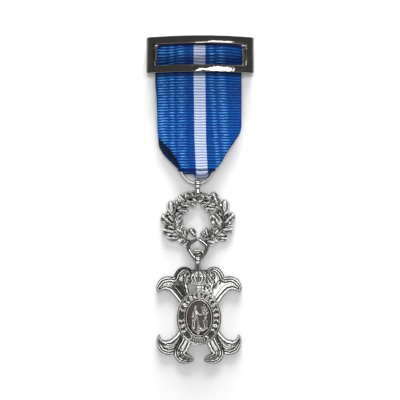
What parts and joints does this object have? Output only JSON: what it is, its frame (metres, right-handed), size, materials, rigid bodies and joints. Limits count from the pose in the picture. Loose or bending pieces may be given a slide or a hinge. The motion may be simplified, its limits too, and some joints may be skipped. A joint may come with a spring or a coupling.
{
  "type": "order cross",
  "caption": "Decoration worn on the chest: a folded striped ribbon in a bowed buckle, a ring, a leaf wreath and a scrolled cross with an oval medallion.",
  "frame": {"origin": "under the middle of the whole object, on the surface that it lies on", "axes": "+X to the wearer's left as the front is seen, +Y up the ribbon to the buckle, +Z out of the front"},
  "size_m": [0.0374, 0.1132, 0.008],
  "materials": {
    "dark_nickel": "polished dark nickel plate",
    "ribbon": "watered ribbed silk, blue with a pale middle stripe",
    "silver_plate": "bright silver plate with darkened hollows",
    "dark_silver": "oxidised silver with bright raised relief"
  },
  "bodies": {
    "root": {"buckle_frame": "dark_nickel", "brooch_pin": "dark_nickel", "ribbon": "ribbon", "suspension_ring": "silver_plate", "wreath": "silver_plate", "cross": "silver_plate", "crown": "silver_plate", "medallion_band": "silver_plate", "medallion_plaque": "dark_silver"}
  },
  "joints": []
}
